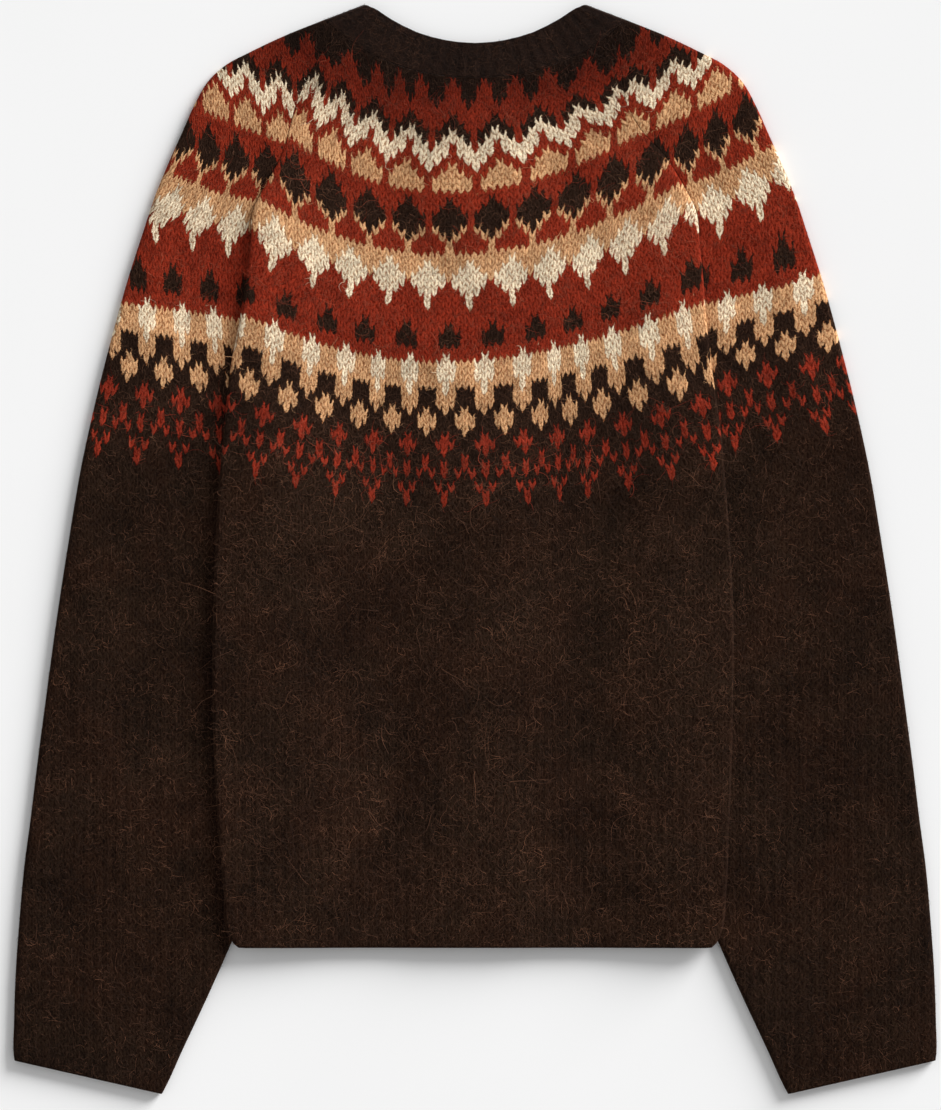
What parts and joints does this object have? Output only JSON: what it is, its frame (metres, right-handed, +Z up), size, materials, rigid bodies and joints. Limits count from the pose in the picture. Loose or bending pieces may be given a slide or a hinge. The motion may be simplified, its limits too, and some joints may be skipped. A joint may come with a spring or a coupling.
{
  "type": "cardigan",
  "caption": "Long-sleeved raglan cardigan in brushed knit with a patterned round yoke, laid flat on its buttoned front with the back up.",
  "frame": {"origin": "on the floor, under the middle of the garment's outline as it lies", "axes": "+Y from the hem to the neck, +X to the wearer's right, +Z up from the floor through the front to the back"},
  "size_m": [0.616, 0.7281, 0.0123],
  "materials": {
    "knit": "brushed, matte, fuzzy wool and mohair jersey, dark brown with a rust, tan and cream yoke",
    "rib": "brushed, matte, fuzzy ribbed knit, dark brown",
    "button": "semi-matte horn-like resin"
  },
  "bodies": {
    "root": {"back": "knit", "front_left": "knit", "front_right": "knit", "sleeve_left": "knit", "sleeve_right": "knit", "neckband": "rib", "buttonband_left": "rib", "buttonband_right": "rib", "button_1": "button", "button_2": "button", "button_3": "button", "button_4": "button", "button_5": "button", "button_6": "button", "button_7": "button"}
  },
  "joints": []
}
